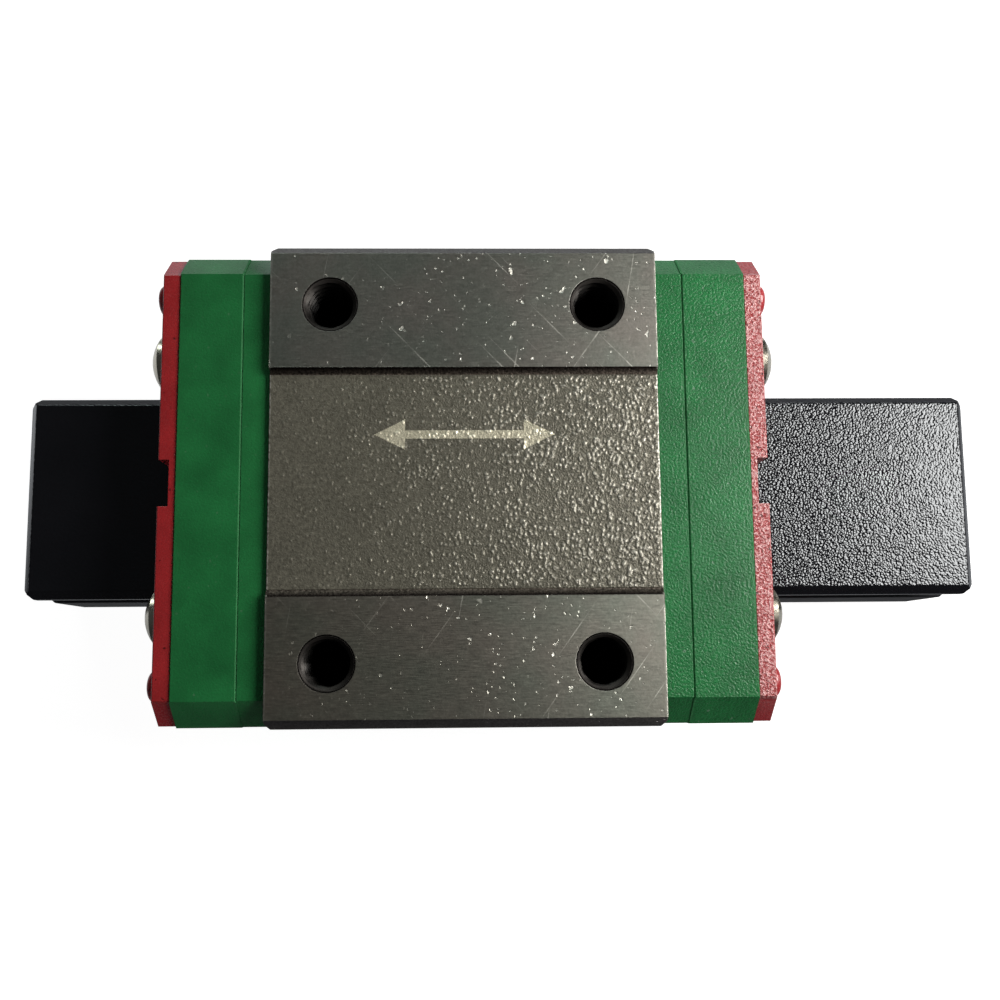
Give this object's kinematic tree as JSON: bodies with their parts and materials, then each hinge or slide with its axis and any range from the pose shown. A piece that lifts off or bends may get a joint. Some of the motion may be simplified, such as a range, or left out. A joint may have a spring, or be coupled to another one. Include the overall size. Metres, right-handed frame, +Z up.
{
  "type": "linear guide carriage",
  "caption": "Miniature ball carriage with tapped top holes, green end caps and red wiper seals, on a short black shipping rail.",
  "frame": {"origin": "centre of the shipping rail's base", "axes": "+X along the rail, +Y across it, +Z up, out of the carriage's mounting face"},
  "size_m": [0.057, 0.027, 0.013],
  "materials": {
    "rail_plastic": "moulded, fine pebbled gloss",
    "block_steel": "ground bands, coarse etched recess",
    "plate_plastic": "moulded satin",
    "cap_plastic": "moulded satin, fine speckle",
    "seal_rubber": "moulded, lightly grained",
    "guide_plastic": "moulded satin",
    "screw_nickel": "nickel plated",
    "wire_steel": "bright drawn",
    "ball_steel": "polished"
  },
  "bodies": {
    "rail": {"shipping_rail": "rail_plastic"},
    "carriage": {"block_body": "block_steel", "left_inner_plate": "plate_plastic", "right_inner_plate": "plate_plastic", "left_end_cap": "cap_plastic", "right_end_cap": "cap_plastic", "left_end_seal": "seal_rubber", "right_end_seal": "seal_rubber", "left_front_return_guide": "guide_plastic", "left_rear_return_guide": "guide_plastic", "right_front_return_guide": "guide_plastic", "right_rear_return_guide": "guide_plastic", "left_front_end_screw": "screw_nickel", "left_rear_end_screw": "screw_nickel", "right_front_end_screw": "screw_nickel", "right_rear_end_screw": "screw_nickel", "front_retainer_wire": "wire_steel", "rear_retainer_wire": "wire_steel", "front_loaded_balls": "ball_steel", "rear_loaded_balls": "ball_steel", "front_return_balls": "ball_steel", "rear_return_balls": "ball_steel", "left_front_turn_balls": "ball_steel", "left_rear_turn_balls": "ball_steel", "right_front_turn_balls": "ball_steel", "right_rear_turn_balls": "ball_steel"}
  },
  "joints": [
    {"name": "carriage_slide", "type": "slide", "parent": "rail", "child": "carriage", "axis": [1, 0, 0], "range_m": [-0.009, 0.0135]}
  ]
}
